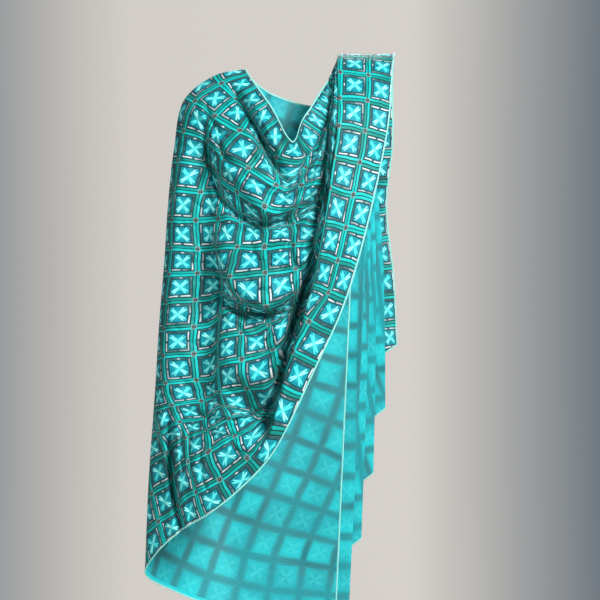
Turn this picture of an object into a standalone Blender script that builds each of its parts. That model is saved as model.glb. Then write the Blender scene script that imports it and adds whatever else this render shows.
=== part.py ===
"""Embroidered phulkari shawl in its worn pose: across the back, over the right arm, across the chest in
swags and over the left shoulder in a stack of pleats. Metres, +Z up, the front faces -Y, and the
origin is the base of the neck between the shoulders. The wearer's right is -X."""

import bpy
import numpy as np

WALL = 0.0012
SEAM_GAP = 0.0004
EDGING_GAP = 0.0006
EDGING_WIDTH = 0.0035
LAYER_RISE = 0.0032
FOLD_CUT = 0.16
STACK_CUT = 0.003
EDGE_CUT = 0.012

# The lines that run the length of the cloth, from the neck edge to the hem. The odd ones are valleys or
# outer folds, the even ones ridges or inner folds.
FOLD_NAMES = (
    "neck_edge",
    "roll_crease",
    "first_ridge",
    "first_valley",
    "second_ridge",
    "second_valley",
    "third_ridge",
    "pocket",
    "band_fold",
    "hem",
)

# Where each line lies in front, as (x, y, z) at seven places from the right side to the left chest.
FRONT_PLACES = ("side", "arm", "dip", "chest", "cowl", "turn", "band")
FRONT = {
    "neck_edge": (
        (-0.102, -0.010, 0.011),
        (-0.090, -0.042, -0.010),
        (-0.074, -0.070, -0.034),
        (-0.047, -0.103, -0.076),
        (-0.0075, -0.137, -0.143),
        (0.010, -0.124, -0.100),
        (0.024, -0.112, -0.078),
    ),
    "roll_crease": (
        (-0.165, 0.000, -0.002),
        (-0.137, -0.045, -0.026),
        (-0.110, -0.075, -0.062),
        (-0.075, -0.108, -0.126),
        (-0.018, -0.126, -0.222),
        (0.020, -0.124, -0.170),
        (0.052, -0.116, -0.125),
    ),
    "first_ridge": (
        (-0.226, 0.000, -0.052),
        (-0.204, -0.050, -0.070),
        (-0.168, -0.085, -0.110),
        (-0.120, -0.138, -0.210),
        (-0.050, -0.172, -0.285),
        (0.004, -0.160, -0.248),
        (0.040, -0.140, -0.170),
    ),
    "first_valley": (
        (-0.246, 0.000, -0.150),
        (-0.224, -0.046, -0.150),
        (-0.178, -0.054, -0.175),
        (-0.124, -0.112, -0.270),
        (-0.048, -0.126, -0.302),
        (0.022, -0.122, -0.270),
        (0.082, -0.134, -0.200),
    ),
    "second_ridge": (
        (-0.257, 0.000, -0.250),
        (-0.236, -0.056, -0.252),
        (-0.176, -0.072, -0.300),
        (-0.132, -0.145, -0.415),
        (-0.052, -0.176, -0.460),
        (0.002, -0.168, -0.410),
        (0.044, -0.152, -0.290),
    ),
    "second_valley": (
        (-0.265, 0.000, -0.370),
        (-0.243, -0.050, -0.368),
        (-0.168, -0.058, -0.390),
        (-0.126, -0.118, -0.450),
        (-0.048, -0.126, -0.482),
        (0.018, -0.123, -0.442),
        (0.085, -0.142, -0.310),
    ),
    "third_ridge": (
        (-0.275, 0.000, -0.490),
        (-0.253, -0.060, -0.488),
        (-0.174, -0.068, -0.508),
        (-0.136, -0.145, -0.570),
        (-0.056, -0.172, -0.604),
        (-0.010, -0.170, -0.545),
        (0.044, -0.160, -0.380),
    ),
    "pocket": (
        (-0.283, 0.000, -0.620),
        (-0.260, -0.058, -0.618),
        (-0.180, -0.074, -0.628),
        (-0.140, -0.128, -0.650),
        (-0.050, -0.118, -0.665),
        (0.012, -0.124, -0.555),
        (0.085, -0.150, -0.390),
    ),
    "band_fold": (
        (-0.296, 0.000, -0.810),
        (-0.258, -0.042, -0.790),
        (-0.205, -0.108, -0.765),
        (-0.142, -0.145, -0.750),
        (-0.070, -0.172, -0.738),
        (-0.020, -0.178, -0.584),
        (0.027, -0.174, -0.424),
    ),
    "hem": (
        (-0.304, 0.000, -0.994),
        (-0.232, -0.070, -0.908),
        (-0.168, -0.128, -0.864),
        (-0.110, -0.148, -0.816),
        (-0.048, -0.162, -0.748),
        (0.032, -0.172, -0.590),
        (0.100, -0.168, -0.435),
    ),
}

# The stack of pleats on the left of the body. The inner folds step outwards and each layer stands off the
# one below it by "off", given in y and z.
STACK_PLACES = ("upper", "top", "shoulder", "over", "blade")
STACK = {
    "upper": {
        "inner": 0.054, "step": 0.0022, "outer": 0.118, "y": -0.108, "z": -0.100, "off": (-0.0050, -0.0020),
    },
    "top": {
        "inner": 0.060, "step": 0.0023, "outer": 0.146, "y": -0.062, "z": -0.018, "off": (-0.0027, 0.0024),
    },
    "shoulder": {
        "inner": 0.074, "step": 0.0008, "outer": 0.162, "y": 0.000, "z": 0.012, "off": (0.0, 0.0034),
    },
    "over": {
        "inner": 0.072, "step": 0.0008, "outer": 0.160, "y": 0.082, "z": -0.018, "off": (0.0026, 0.0027),
    },
    "blade": {
        "inner": 0.066, "step": 0.0010, "outer": 0.156, "y": 0.124, "z": -0.130, "off": (0.0042, 0.0006),
    },
}
BAND_EDGE = {
    "upper": (0.176, -0.155, -0.124),
    "top": (0.189, -0.086, 0.004),
    "shoulder": (0.196, 0.000, 0.043),
    "over": (0.197, 0.106, 0.007),
    "blade": (0.200, 0.163, -0.124),
}

# How the first lines leave the stack where it opens in front.
LEAVING = {
    ("upper", "neck_edge"): (0.040, -0.090, -0.050),
    ("upper", "roll_crease"): (0.092, -0.102, -0.082),
    ("upper", "band_fold"): (0.076, -0.152, -0.120),
}

# In front, by level: how far forward the body and the band lie, and how many lines have left the stack.
LEVELS = {
    "z": (-0.75, -0.60, -0.45, -0.38, -0.31, -0.28, -0.20, -0.16, -0.10, -0.05, -0.02),
    "body": (-0.122, -0.122, -0.122, -0.122, -0.121, -0.120, -0.117, -0.114, -0.108, -0.090, -0.064),
    "band": (-0.172, -0.178, -0.176, -0.175, -0.174, -0.173, -0.168, -0.163, -0.153, -0.126, -0.090),
    "left": (7.6, 7.5, 7.1, 6.3, 5.2, 4.4, 3.0, 2.0, 1.0, 0.4, 0.0),
    "edge": (-0.074, -0.026, 0.016, 0.038, 0.052, 0.058, 0.070, 0.074, 0.076, 0.076, 0.078),
}
SWAG_DEPTH = 0.054
SUNK_DEPTH = 0.014
SINK_WIDTH = 0.06
RIDGE_LEAD = 0.8
CHEST_SIDE = 0.085
CHEST_SIDE_FALL = 3.6
CHEST_TURN = {"cowl": 0.0, "turn": 1.0, "upper": 1.0, "shoulder": 0.0}

# The two lower places of the fall behind the left shoulder and the slanted short end.
FALL_PLACES = ("fall_high", "fall_low", "end_a")
FALL = {
    "fall_high": {
        "inner": 0.050, "drift": 0.006, "depth": 0.085, "y": 0.136, "off": 0.0075, "reach": 0.30,
    },
    "fall_low": {
        "inner": 0.030, "drift": 0.010, "depth": 0.085, "y": 0.142, "off": 0.0095, "reach": 0.65,
    },
    "end_a": {
        "inner": 0.014, "drift": 0.013, "depth": 0.082, "y": 0.148, "off": 0.0110, "reach": 1.00,
    },
}
FALL_START = -0.130
FALL_END_NECK = -1.150
FALL_END_HEM = -0.545

# The back, from the right arm to the short end at the left, as x, y and z of the top edge and of the hem.
BACK_PLACES = ("end_b", "back_left", "spine", "back_right", "back_arm")
BACK = {
    "end_b": {
        "top": (0.125, 0.084, -0.085), "hem": (0.080, 0.106, -1.105), "blade": 0.004, "waist": -0.012,
    },
    "back_left": {
        "top": (0.072, 0.090, -0.062), "hem": (0.010, 0.128, -1.108), "blade": 0.010, "waist": -0.018,
    },
    "spine": {
        "top": (0.000, 0.096, -0.046), "hem": (-0.085, 0.138, -1.102), "blade": 0.012, "waist": -0.020,
    },
    "back_right": {
        "top": (-0.058, 0.074, -0.026), "hem": (-0.165, 0.130, -1.085), "blade": 0.016, "waist": 0.0,
    },
    "back_arm": {
        "top": (-0.092, 0.038, -0.002), "hem": (-0.252, 0.086, -1.045), "blade": 0.012, "waist": 0.006,
    },
}
# How far out to the right of the straight line from the top edge to the hem each line lies on the back.
BACK_SIDEWAYS = {"end_b": 0.0, "back_left": 0.02, "spine": 0.045, "back_right": 0.07, "back_arm": 0.065}

PLACES = BACK_PLACES + FRONT_PLACES + STACK_PLACES + FALL_PLACES
ROWS_AFTER = {
    "end_b": 2,
    "back_left": 3,
    "spine": 3,
    "back_right": 3,
    "back_arm": 3,
    "side": 2,
    "arm": 3,
    "dip": 3,
    "chest": 3,
    "cowl": 4,
    "turn": 4,
    "band": 5,
    "upper": 3,
    "top": 3,
    "shoulder": 3,
    "over": 3,
    "blade": 4,
    "fall_high": 5,
    "fall_low": 4,
}

# How far the cloth is folded flat at each place: 0 is a smooth sheet, 1 a stack of flat layers.
FLATNESS = {"turn": 0.4, "band": 1.0, "upper": 1.0, "top": 1.0, "shoulder": 1.0, "over": 1.0, "blade": 1.0}
FLATNESS.update({"fall_high": 0.9, "fall_low": 0.8, "end_a": 0.85})

# The way in which the layers stand off the body.
LAYER_WAY = {place: (0.0, -1.0, 0.0) for place in PLACES}
LAYER_WAY.update({"top": (0.0, -0.75, 0.66), "shoulder": (0.0, 0.0, 1.0), "over": (0.0, 0.7, 0.7)})
LAYER_WAY.update({"blade": (0.0, 1.0, 0.1), "fall_high": (0.0, 1.0, 0.0), "fall_low": (0.0, 1.0, 0.0)})
LAYER_WAY["end_a"] = (0.0, 1.0, 0.0)

# Each stretch, from one place to another.
STRETCHES = (
    ("back_panel", "end_b", "back_arm"),
    ("arm_drape", "back_arm", "dip"),
    ("front_cowl", "dip", "turn"),
    ("front_band", "turn", "top"),
    ("shoulder_pleats", "top", "over"),
    ("shoulder_fall", "over", "end_a"),
)

CLOTH_COLOUR = (0.02, 0.33, 0.32, 1.0)
EDGING_COLOUR = (0.28, 0.80, 0.72, 1.0)


def clear_scene():
    for old in list(bpy.data.objects):
        bpy.data.objects.remove(old, do_unlink=True)


def back_point(place, fold):
    """A point of the back panel: the fold's share of the way from the top edge to the hem."""
    row = BACK[place]
    share = fold / (len(FOLD_NAMES) - 1)
    top = np.array(row["top"])
    hem = np.array(row["hem"])
    point = top + (hem - top) * share
    point[0] -= BACK_SIDEWAYS[place] * np.sin(np.pi * share) * (1 - 0.5 * share)
    point[1] += row["blade"] * np.sin(np.pi * min(1.0, share * 2.2))
    point[1] += row["waist"] * np.sin(np.pi * share)
    return point


def stack_point(place, fold):
    """A point of the pleat stack: the inner or outer end of a layer, raised by its number."""
    name = FOLD_NAMES[fold]
    if (place, name) in LEAVING:
        return np.array(LEAVING[(place, name)])
    if name == "hem":
        return np.array(BAND_EDGE[place])
    row = STACK[place]
    across = row["outer"] if fold % 2 else row["inner"] + row["step"] * fold
    return np.array((across, row["y"] + row["off"][0] * fold, row["z"] + row["off"][1] * fold))


def layered(point, fold):
    """The point moved to its own layer of the stack in front, where its line has not yet left it, or sunk
    towards the body where its swag comes near the band."""
    keys = ("body", "band", "left", "edge")
    body, band, left, edge = [np.interp(point[2], LEVELS["z"], LEVELS[key]) for key in keys]
    layers = len(FOLD_NAMES) - 2
    order = fold if fold % 2 else fold + RIDGE_LEAD
    share = 1.0 if fold >= layers else min(1.0, max(0.0, (order - left) / (layers - left)))
    layer = body + (band - body) * share
    near = min(1.0, max(0.0, (point[0] - edge) / SINK_WIDTH + 1.0))
    swag = max(point[1], body - SWAG_DEPTH * (1 - near) - SUNK_DEPTH * near)
    inside = min(1.0, max(0.0, fold - left + 1.0))
    moved = point.copy()
    moved[1] = swag * (1 - inside) + layer * inside
    if fold % 2 == 0:
        moved[1] = min(swag, layer)
    return moved


def fall_point(place, fold):
    """A point of the loose pleats behind the left shoulder; the short end slants up to the hem."""
    row = FALL[place]
    across = row["inner"] + row["drift"] * fold + (row["depth"] if fold % 2 else 0.0)
    share = fold / (len(FOLD_NAMES) - 1)
    end = FALL_END_NECK + (FALL_END_HEM - FALL_END_NECK) * share
    down = FALL_START + (end - FALL_START) * row["reach"]
    return np.array((across, row["y"] + row["off"] * fold, down))


def place_point(place, fold):
    if place in BACK:
        return back_point(place, fold)
    if place in FRONT_PLACES:
        point = np.array(FRONT[FOLD_NAMES[fold]][FRONT_PLACES.index(place)])
        return layered(point, fold) if place == "band" else point
    if place in STACK:
        point = stack_point(place, fold)
        return layered(point, fold) if place == "upper" else point
    return fall_point(place, fold)


def catmull_rom(before, start, end, after, share):
    """A point between start and end on the centripetal curve through all four points."""
    knots = [0.0]
    for first, second in ((before, start), (start, end), (end, after)):
        knots.append(knots[-1] + max(1e-6, np.linalg.norm(second - first)) ** 0.5)
    t0, t1, t2, t3 = knots
    t = t1 + (t2 - t1) * share
    a1 = before + (start - before) * (t - t0) / (t1 - t0)
    a2 = start + (end - start) * (t - t1) / (t2 - t1)
    a3 = end + (after - end) * (t - t2) / (t3 - t2)
    b1 = a1 + (a2 - a1) * (t - t0) / (t2 - t0)
    b2 = a2 + (a3 - a2) * (t - t1) / (t3 - t1)
    return b1 + (b2 - b1) * (t - t1) / (t2 - t1)


def curve_points(stops, counts):
    """Points along the curve through the stops, with a number of steps after each."""
    first = stops[0] * 2 - stops[1]
    last = stops[-1] * 2 - stops[-2]
    padded = [first, *stops, last]
    points = []
    for index, count in enumerate(counts):
        for step in range(count):
            points.append(catmull_rom(*padded[index : index + 4], step / count))
    points.append(stops[-1])
    return np.array(points)


def row_flatness():
    """How flat the cloth is folded in each row of the grid."""
    values = []
    for place, following in zip(PLACES[:-1], PLACES[1:]):
        count = ROWS_AFTER[place]
        for step in range(count):
            share = step / count
            values.append(FLATNESS.get(place, 0.0) * (1 - share) + FLATNESS.get(following, 0.0) * share)
    values.append(FLATNESS[PLACES[-1]])
    return values


def row_directions():
    """The way in which the layers stand off the body in each row of the grid."""
    ways = []
    for place, following in zip(PLACES[:-1], PLACES[1:]):
        start = np.array(LAYER_WAY[place])
        end = np.array(LAYER_WAY[following])
        count = ROWS_AFTER[place]
        for step in range(count):
            way = start + (end - start) * step / count
            ways.append(way / np.linalg.norm(way))
    ways.append(np.array(LAYER_WAY[PLACES[-1]]))
    return ways


def cross_section(folds, flat, way):
    """The cloth from the neck edge to the hem in one row: a smooth wave where flat is 0 and level layers
    with rounded folds where it is 1."""
    last = len(folds) - 1
    padded = [folds[0] * 2 - folds[1], *folds, folds[-1] * 2 - folds[-2]]
    points = []
    for strip in range(last):
        start = folds[strip]
        end = folds[strip + 1]
        length = np.linalg.norm(end - start)
        cut = FOLD_CUT * (1 - flat) + STACK_CUT / length * flat
        first = max(cut, EDGE_CUT / length) if strip == 0 else cut
        final = 1 - (max(cut, EDGE_CUT / length) if strip == last - 1 else cut)
        stops = (0.0, first, first + (final - first) / 3, final - (final - first) / 3, final)
        for index, share in enumerate(stops):
            smooth = catmull_rom(*padded[strip : strip + 4], share)
            sharp = start + (end - start) * share
            if index > 0:
                sharp = sharp + way * LAYER_RISE * (0.5 - share)
            elif strip > 0:
                back = folds[strip - 1] - start
                back /= np.linalg.norm(back)
                sharp = start + (back * STACK_CUT + (end - start) / length * STACK_CUT) / 4
            points.append(smooth * (1 - flat) + sharp * flat)
    points.append(folds[-1])
    return np.array(points)


def cloth_grid():
    """All rows of the cloth's middle surface, from one short end to the other."""
    counts = [ROWS_AFTER[place] for place in PLACES[:-1]]
    lines = []
    for fold in range(len(FOLD_NAMES)):
        stops = [place_point(place, fold) for place in PLACES]
        line = curve_points(stops, counts)
        rows = range(place_row("cowl"), place_row("upper") + 1)
        for row in rows:
            weight = min(1.0, (row - rows[0]) / (place_row("turn") - rows[0]))
            line[row] += (layered(line[row], fold) - line[row]) * weight
        lines.append(line)
    rows = zip(np.array(lines).transpose(1, 0, 2), row_flatness(), row_directions())
    grid = np.array([cross_section(list(folds), flat, way) for folds, flat, way in rows])
    # The chest falls back towards the arm, and everything on it with it.
    turning_rows = [place_row(place) for place in CHEST_TURN]
    turned = np.interp(np.arange(len(grid)), turning_rows, list(CHEST_TURN.values()))
    beside = np.maximum(0.0, grid[:, :, 0] - CHEST_SIDE)
    grid[:, :, 1] += CHEST_SIDE_FALL * beside**2 * turned[:, None]
    return grid


def surface_normals(grid):
    along = np.gradient(grid, axis=0)
    across = np.gradient(grid, axis=1)
    normals = np.cross(along, across)
    return normals / np.maximum(np.linalg.norm(normals, axis=2, keepdims=True), 1e-9)


def material(name, colour, roughness):
    made = bpy.data.materials.new(name)
    made.use_nodes = True
    shader = made.node_tree.nodes["Principled BSDF"]
    shader.inputs["Base Color"].default_value = colour
    shader.inputs["Roughness"].default_value = roughness
    return made


def sheet_solid(name, middle, normals, thickness, look):
    """A closed wall of one thickness round a grid of middle points."""
    rows, columns = middle.shape[:2]
    front = middle + normals * thickness / 2
    back = middle - normals * thickness / 2
    points = np.concatenate([front.reshape(-1, 3), back.reshape(-1, 3)])
    offset = rows * columns

    def front_at(row, column):
        return row * columns + column

    def back_at(row, column):
        return offset + row * columns + column

    faces = []
    for row in range(rows - 1):
        for column in range(columns - 1):
            # Both sides are split along the same diagonal, so that the wall stays whole where it twists.
            corners = [(row, column), (row + 1, column), (row + 1, column + 1), (row, column + 1)]
            rising = np.linalg.norm(middle[corners[0]] - middle[corners[2]])
            falling = np.linalg.norm(middle[corners[1]] - middle[corners[3]])
            if falling < rising:
                corners = corners[1:] + corners[:1]
            for triangle in (corners[:3], [corners[2], corners[3], corners[0]]):
                faces.append([front_at(*corner) for corner in triangle])
                faces.append([back_at(*corner) for corner in reversed(triangle)])
    # The rim is split the same way on every piece, so that the rims of two neighbours stay parallel.
    for column, turned in ((0, False), (columns - 1, True)):
        for row in range(rows - 1):
            first = (front_at(row, column), back_at(row, column), back_at(row + 1, column))
            second = (front_at(row, column), back_at(row + 1, column), front_at(row + 1, column))
            faces += [first[::-1], second[::-1]] if turned else [first, second]
    for row, turned in ((0, True), (rows - 1, False)):
        for column in range(columns - 1):
            first = (front_at(row, column), back_at(row, column), back_at(row, column + 1))
            second = (front_at(row, column), back_at(row, column + 1), front_at(row, column + 1))
            faces += [first[::-1], second[::-1]] if turned else [first, second]
    mesh = bpy.data.meshes.new(name)
    mesh.from_pydata([tuple(point) for point in points], [], faces)
    mesh.update()
    solid = bpy.data.objects.new(name, mesh)
    bpy.context.collection.objects.link(solid)
    solid.data.materials.append(look)
    return solid


def moved_towards(edge, inner, distance):
    """The edge points moved a distance towards the next points inside."""
    way = inner - edge
    return edge + way / np.linalg.norm(way, axis=-1, keepdims=True) * distance


def place_row(place):
    """The grid row at which a place lies."""
    return sum(ROWS_AFTER[earlier] for earlier in PLACES[: PLACES.index(place)])


def build():
    clear_scene()
    grid = cloth_grid()
    normals = surface_normals(grid)
    inset = EDGING_WIDTH + EDGING_GAP
    cloth = grid.copy()
    cloth[:, 0] = moved_towards(grid[:, 0], grid[:, 1], inset)
    cloth[:, -1] = moved_towards(grid[:, -1], grid[:, -2], inset)
    ends = cloth.copy()
    cloth[0] = moved_towards(ends[0], ends[1], inset)
    cloth[-1] = moved_towards(ends[-1], ends[-2], inset)
    for name, start, end in STRETCHES:
        first = place_row(start)
        last = place_row(end)
        part = cloth[first : last + 1].copy()
        if first > 0:
            part[0] = moved_towards(cloth[first], cloth[first + 1], SEAM_GAP / 2)
        if last < len(cloth) - 1:
            part[-1] = moved_towards(cloth[last], cloth[last - 1], SEAM_GAP / 2)
        look = material(name, CLOTH_COLOUR, 0.6)
        sheet_solid(name, part, normals[first : last + 1], WALL, look)
    neck = np.stack([grid[:, 0], moved_towards(grid[:, 0], grid[:, 1], EDGING_WIDTH)], axis=1)
    neck_normals = np.stack([normals[:, 0], normals[:, 0]], axis=1)
    sheet_solid("neck_edging", neck, neck_normals, WALL, material("neck_edging", EDGING_COLOUR, 0.5))
    hem = np.stack([moved_towards(grid[:, -1], grid[:, -2], EDGING_WIDTH), grid[:, -1]], axis=1)
    hem_normals = np.stack([normals[:, -1], normals[:, -1]], axis=1)
    sheet_solid("hem_edging", hem, hem_normals, WALL, material("hem_edging", EDGING_COLOUR, 0.5))
    back_end = np.stack([ends[0], moved_towards(ends[0], ends[1], EDGING_WIDTH)], axis=0)
    back_normals = np.stack([normals[0], normals[0]], axis=0)
    sheet_solid(
        "back_end_edging", back_end, back_normals, WALL, material("back_end_edging", EDGING_COLOUR, 0.5)
    )
    front_end = np.stack([moved_towards(ends[-1], ends[-2], EDGING_WIDTH), ends[-1]], axis=0)
    front_normals = np.stack([normals[-1], normals[-1]], axis=0)
    sheet_solid(
        "front_end_edging", front_end, front_normals, WALL, material("front_end_edging", EDGING_COLOUR, 0.5)
    )


build()
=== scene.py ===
"""Looks of the embroidered phulkari shawl in its worn pose. Metres, +Z up, the front faces -Y, and the
origin is the base of the neck between the shoulders. The wearer's right is -X."""

import math

import bpy
import numpy as np
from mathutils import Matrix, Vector


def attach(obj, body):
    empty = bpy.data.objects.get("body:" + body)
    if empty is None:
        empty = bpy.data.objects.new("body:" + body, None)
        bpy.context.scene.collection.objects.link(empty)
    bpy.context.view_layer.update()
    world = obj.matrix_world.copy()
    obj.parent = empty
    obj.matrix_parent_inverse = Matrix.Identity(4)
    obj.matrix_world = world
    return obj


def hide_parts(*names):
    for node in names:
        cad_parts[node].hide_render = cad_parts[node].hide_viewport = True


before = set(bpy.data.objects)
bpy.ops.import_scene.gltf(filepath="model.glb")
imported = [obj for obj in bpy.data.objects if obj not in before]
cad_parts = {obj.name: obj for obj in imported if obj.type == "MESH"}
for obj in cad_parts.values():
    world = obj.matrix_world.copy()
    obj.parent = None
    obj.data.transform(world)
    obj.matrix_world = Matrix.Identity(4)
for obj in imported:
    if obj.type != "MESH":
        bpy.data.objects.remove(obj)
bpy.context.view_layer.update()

# As in the solids: the edging's width, and how the layers stand apart and round off at their folds.
EDGING_WIDTH = 0.0035
LAYER_RISE = 0.0032
FOLD_CUT = 0.16
STACK_CUT = 0.003
EDGE_CUT = 0.012

# The flat cloth and its squares.
CLOTH_WIDTH = 1.10
SQUARES_ACROSS = 18
MARGIN = -0.006
SQUARE = (CLOTH_WIDTH - 2 * MARGIN) / SQUARES_ACROSS
PHASE_ALONG = 0.25

# The fine surface: steps between two rows and two columns of the solids, and the cloth's thickness.
ROW_STEPS = 9
COLUMN_STEPS = 6
THICKNESS = 0.0008
EDGING_HEIGHT = 0.0022
EDGING_SIDES = 8
EDGING_ROUND = 0.009

# The lines that run the length of the cloth, from the neck edge to the hem. The odd ones are valleys or
# outer folds, the even ones ridges or inner folds.
FOLD_NAMES = (
    "neck_edge", "roll_crease", "first_ridge", "first_valley", "second_ridge", "second_valley",
    "third_ridge", "pocket", "band_fold", "hem",
)
LAST_FOLD = len(FOLD_NAMES) - 1
BAND_FOLD = LAST_FOLD - 1

# Where each line lies in front, as (x, y, z) at seven places from the right side to the left chest.
FRONT_PLACES = ("side", "arm", "dip", "chest", "cowl", "turn", "band")
FRONT = {
    "neck_edge": (
        (-0.102, -0.010, 0.011), (-0.090, -0.042, -0.010), (-0.074, -0.070, -0.034),
        (-0.047, -0.103, -0.076), (-0.0075, -0.137, -0.143), (0.010, -0.124, -0.100),
        (0.024, -0.112, -0.078),
    ),
    "roll_crease": (
        (-0.165, 0.000, -0.002), (-0.137, -0.045, -0.026), (-0.110, -0.075, -0.062),
        (-0.075, -0.108, -0.126), (-0.018, -0.126, -0.222), (0.020, -0.124, -0.170),
        (0.052, -0.116, -0.125),
    ),
    "first_ridge": (
        (-0.226, 0.000, -0.052), (-0.204, -0.050, -0.070), (-0.168, -0.085, -0.110),
        (-0.120, -0.138, -0.210), (-0.050, -0.172, -0.285), (0.004, -0.160, -0.248),
        (0.040, -0.140, -0.170),
    ),
    "first_valley": (
        (-0.246, 0.000, -0.150), (-0.224, -0.046, -0.150), (-0.178, -0.054, -0.175),
        (-0.124, -0.112, -0.270), (-0.048, -0.126, -0.302), (0.022, -0.122, -0.270),
        (0.082, -0.134, -0.200),
    ),
    "second_ridge": (
        (-0.257, 0.000, -0.250), (-0.236, -0.056, -0.252), (-0.176, -0.072, -0.300),
        (-0.132, -0.145, -0.415), (-0.052, -0.176, -0.460), (0.002, -0.168, -0.410),
        (0.044, -0.152, -0.290),
    ),
    "second_valley": (
        (-0.265, 0.000, -0.370), (-0.243, -0.050, -0.368), (-0.168, -0.058, -0.390),
        (-0.126, -0.118, -0.450), (-0.048, -0.126, -0.482), (0.018, -0.123, -0.442),
        (0.085, -0.142, -0.310),
    ),
    "third_ridge": (
        (-0.275, 0.000, -0.490), (-0.253, -0.060, -0.488), (-0.174, -0.068, -0.508),
        (-0.136, -0.145, -0.570), (-0.056, -0.172, -0.604), (-0.010, -0.170, -0.545),
        (0.044, -0.160, -0.380),
    ),
    "pocket": (
        (-0.283, 0.000, -0.620), (-0.260, -0.058, -0.618), (-0.180, -0.074, -0.628),
        (-0.140, -0.128, -0.650), (-0.050, -0.118, -0.665), (0.012, -0.124, -0.555),
        (0.085, -0.150, -0.390),
    ),
    "band_fold": (
        (-0.296, 0.000, -0.810), (-0.258, -0.042, -0.790), (-0.205, -0.108, -0.765),
        (-0.142, -0.145, -0.750), (-0.070, -0.172, -0.738), (-0.020, -0.178, -0.584),
        (0.027, -0.174, -0.424),
    ),
    "hem": (
        (-0.304, 0.000, -0.994), (-0.232, -0.070, -0.908), (-0.168, -0.128, -0.864),
        (-0.110, -0.148, -0.816), (-0.048, -0.162, -0.748), (0.032, -0.172, -0.590),
        (0.100, -0.168, -0.435),
    ),
}

# The stack of pleats on the left of the body. The inner folds step outwards and each layer stands off the
# one below it by "off", given in y and z.
STACK_PLACES = ("upper", "top", "shoulder", "over", "blade")
STACK = {
    "upper": {
        "inner": 0.054, "step": 0.0022, "outer": 0.118, "y": -0.108, "z": -0.100, "off": (-0.0050, -0.0020),
    },
    "top": {
        "inner": 0.060, "step": 0.0023, "outer": 0.146, "y": -0.062, "z": -0.018, "off": (-0.0027, 0.0024),
    },
    "shoulder": {
        "inner": 0.074, "step": 0.0008, "outer": 0.162, "y": 0.000, "z": 0.012, "off": (0.0, 0.0034),
    },
    "over": {
        "inner": 0.072, "step": 0.0008, "outer": 0.160, "y": 0.082, "z": -0.018, "off": (0.0026, 0.0027),
    },
    "blade": {
        "inner": 0.066, "step": 0.0010, "outer": 0.156, "y": 0.124, "z": -0.130, "off": (0.0042, 0.0006),
    },
}
BAND_EDGE = {
    "upper": (0.176, -0.155, -0.124),
    "top": (0.189, -0.086, 0.004),
    "shoulder": (0.196, 0.000, 0.043),
    "over": (0.197, 0.106, 0.007),
    "blade": (0.200, 0.163, -0.124),
}

# How the first lines leave the stack where it opens in front.
LEAVING = {
    ("upper", "neck_edge"): (0.040, -0.090, -0.050),
    ("upper", "roll_crease"): (0.092, -0.102, -0.082),
    ("upper", "band_fold"): (0.076, -0.152, -0.120),
}

# In front, by level: how far forward the body and the band lie, and how many lines have left the stack.
LEVELS = {
    "z": (-0.75, -0.60, -0.45, -0.38, -0.31, -0.28, -0.20, -0.16, -0.10, -0.05, -0.02),
    "body": (-0.122, -0.122, -0.122, -0.122, -0.121, -0.120, -0.117, -0.114, -0.108, -0.090, -0.064),
    "band": (-0.172, -0.178, -0.176, -0.175, -0.174, -0.173, -0.168, -0.163, -0.153, -0.126, -0.090),
    "left": (7.6, 7.5, 7.1, 6.3, 5.2, 4.4, 3.0, 2.0, 1.0, 0.4, 0.0),
    "edge": (-0.074, -0.026, 0.016, 0.038, 0.052, 0.058, 0.070, 0.074, 0.076, 0.076, 0.078),
}
SWAG_DEPTH = 0.054
SUNK_DEPTH = 0.014
SINK_WIDTH = 0.06
RIDGE_LEAD = 0.8
CHEST_SIDE = 0.085
CHEST_SIDE_FALL = 3.6
CHEST_TURN = {"cowl": 0.0, "turn": 1.0, "upper": 1.0, "shoulder": 0.0}

# The two lower places of the fall behind the left shoulder and the slanted short end.
FALL_PLACES = ("fall_high", "fall_low", "end_a")
FALL = {
    "fall_high": {
        "inner": 0.050, "drift": 0.006, "depth": 0.085, "y": 0.136, "off": 0.0075, "reach": 0.30,
    },
    "fall_low": {
        "inner": 0.030, "drift": 0.010, "depth": 0.085, "y": 0.142, "off": 0.0095, "reach": 0.65,
    },
    "end_a": {
        "inner": 0.014, "drift": 0.013, "depth": 0.082, "y": 0.148, "off": 0.0110, "reach": 1.00,
    },
}
FALL_START = -0.130
FALL_END_NECK = -1.150
FALL_END_HEM = -0.545

# The back, from the right arm to the short end at the left, as x, y and z of the top edge and of the hem.
BACK_PLACES = ("end_b", "back_left", "spine", "back_right", "back_arm")
BACK = {
    "end_b": {
        "top": (0.125, 0.084, -0.085), "hem": (0.080, 0.106, -1.105), "blade": 0.004, "waist": -0.012,
    },
    "back_left": {
        "top": (0.072, 0.090, -0.062), "hem": (0.010, 0.128, -1.108), "blade": 0.010, "waist": -0.018,
    },
    "spine": {
        "top": (0.000, 0.096, -0.046), "hem": (-0.085, 0.138, -1.102), "blade": 0.012, "waist": -0.020,
    },
    "back_right": {
        "top": (-0.058, 0.074, -0.026), "hem": (-0.165, 0.130, -1.085), "blade": 0.016, "waist": 0.0,
    },
    "back_arm": {
        "top": (-0.092, 0.038, -0.002), "hem": (-0.252, 0.086, -1.045), "blade": 0.012, "waist": 0.006,
    },
}
# How far out to the right of the straight line from the top edge to the hem each line lies on the back.
BACK_SIDEWAYS = {"end_b": 0.0, "back_left": 0.02, "spine": 0.045, "back_right": 0.07, "back_arm": 0.065}
SIDEWAYS_FADE = 0.5
# The bulge over the shoulder blades takes the top of the back, one part in this many.
BLADES = 2.2

PLACES = BACK_PLACES + FRONT_PLACES + STACK_PLACES + FALL_PLACES
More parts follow.
